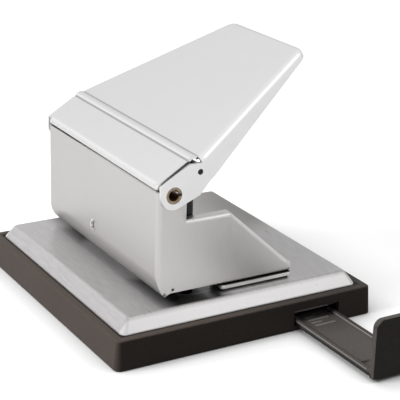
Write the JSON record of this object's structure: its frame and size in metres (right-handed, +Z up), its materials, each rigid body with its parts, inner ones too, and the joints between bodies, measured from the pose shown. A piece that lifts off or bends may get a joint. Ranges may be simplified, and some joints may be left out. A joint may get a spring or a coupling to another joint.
{
  "type": "two-hole paper punch",
  "caption": "Desk punch with a folded steel housing on a bevelled base plate, a tapered lever, sprung punches, a chip tray and a sliding paper stop.",
  "frame": {"origin": "centre of the chip tray's flat underside", "axes": "+X along the front towards the stop rail's side, +Y from the paper's entry to the back, +Z up"},
  "size_m": [0.1662, 0.1126, 0.1003],
  "materials": {
    "tray_plastic": "fine grain",
    "rail_plastic": "fine grain",
    "plate_steel": "satin",
    "housing_steel": "satin",
    "lever_steel": "satin",
    "bright_steel": "bright",
    "black_steel": "matt black",
    "tool_steel": "blackened",
    "axle_steel": "brown patina",
    "spring_wire": "drawn wire"
  },
  "bodies": {
    "tray": {"chip_tray": "tray_plastic"},
    "frame": {"base_plate": "plate_steel", "left_die": "tool_steel", "right_die": "tool_steel", "left_spacer": "bright_steel", "right_spacer": "bright_steel", "housing": "housing_steel", "foot_rivets": "bright_steel", "guide_channel": "black_steel", "pivot_axle": "axle_steel", "left_spring": "spring_wire", "right_spring": "spring_wire"},
    "lever": {"lever": "lever_steel", "presser_rod": "bright_steel"},
    "left_punch": {"left_punch": "tool_steel", "left_seat_washer": "bright_steel", "left_clip": "spring_wire"},
    "right_punch": {"right_punch": "tool_steel", "right_seat_washer": "bright_steel", "right_clip": "spring_wire"},
    "rail": {"stop_rail": "rail_plastic"}
  },
  "joints": [
    {"name": "frame_lift", "type": "slide", "parent": "tray", "child": "frame", "axis": [0, 0, 1], "range_m": [0, 0.03]},
    {"name": "lever_hinge", "type": "hinge", "parent": "frame", "child": "lever", "pos_m": [0, -0.0281, 0.05895], "axis": [-1, 0, 0], "range_deg": [0, 28]},
    {"name": "left_punch_slide", "type": "slide", "parent": "frame", "child": "left_punch", "axis": [0, 0, -1], "range_m": [0, 0.00584], "stiffness_N_per_m": 900, "springref_m": -0.004, "deforming": ["left_spring"]},
    {"name": "right_punch_slide", "type": "slide", "parent": "frame", "child": "right_punch", "axis": [0, 0, -1], "range_m": [0, 0.00584], "stiffness_N_per_m": 900, "springref_m": -0.004, "deforming": ["right_spring"]},
    {"name": "rail_slide", "type": "slide", "parent": "tray", "child": "rail", "axis": [1, 0, 0], "range_m": [-0.0455, 0.0435]}
  ],
  "couplings": [
    {"joint": "left_punch_slide", "follows": "lever_hinge", "m_per_rad": 0.01193},
    {"joint": "right_punch_slide", "follows": "lever_hinge", "m_per_rad": 0.01193}
  ]
}
